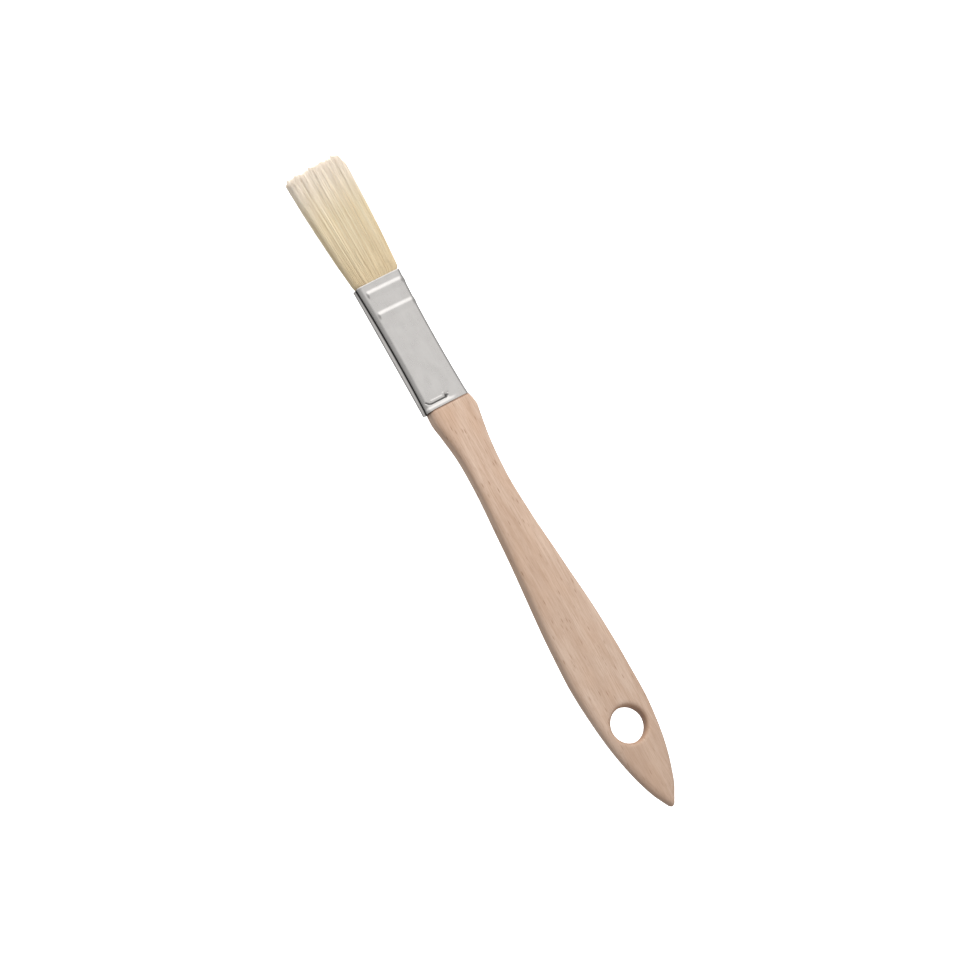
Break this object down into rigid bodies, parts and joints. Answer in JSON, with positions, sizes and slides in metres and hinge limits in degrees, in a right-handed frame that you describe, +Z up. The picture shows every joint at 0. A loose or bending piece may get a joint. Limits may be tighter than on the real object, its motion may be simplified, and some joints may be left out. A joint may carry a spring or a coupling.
{
  "type": "pastry brush",
  "caption": "Flat wooden pastry brush: shaped handle with a hanging hole, pressed metal ferrule and a flared bank of pale natural bristles that bends at the ferrule's mouth.",
  "frame": {"origin": "under the middle of the brush, on the surface that it lies on", "axes": "+Y along the brush towards the bristle tips, +X across it to the right, +Z up out of its front face"},
  "size_m": [0.0207, 0.235, 0.0074],
  "materials": {
    "beech": "unvarnished beech, sanded smooth, fine lengthwise grain",
    "tinplate": "bright tinplate, softly reflecting, with fine rubbing marks",
    "filler_wood": "raw sawn wood strip",
    "resin": "cured amber setting resin",
    "bristle": "cream natural bristle with paler split tips"
  },
  "bodies": {
    "brush_body": {"handle": "beech", "ferrule": "tinplate", "filler_strip": "filler_wood", "resin_setting": "resin", "bristle_root_front": "bristle", "bristle_root_back": "bristle"},
    "bristle_tuft": {"bristles_front": "bristle", "bristles_back": "bristle"}
  },
  "joints": [
    {"name": "bristle_flex", "type": "hinge", "parent": "brush_body", "child": "bristle_tuft", "pos_m": [0, 0.0768, 0.0037], "axis": [1, 0, 0], "range_deg": [-35, 35], "stiffness_Nm_per_rad": 0.08}
  ]
}
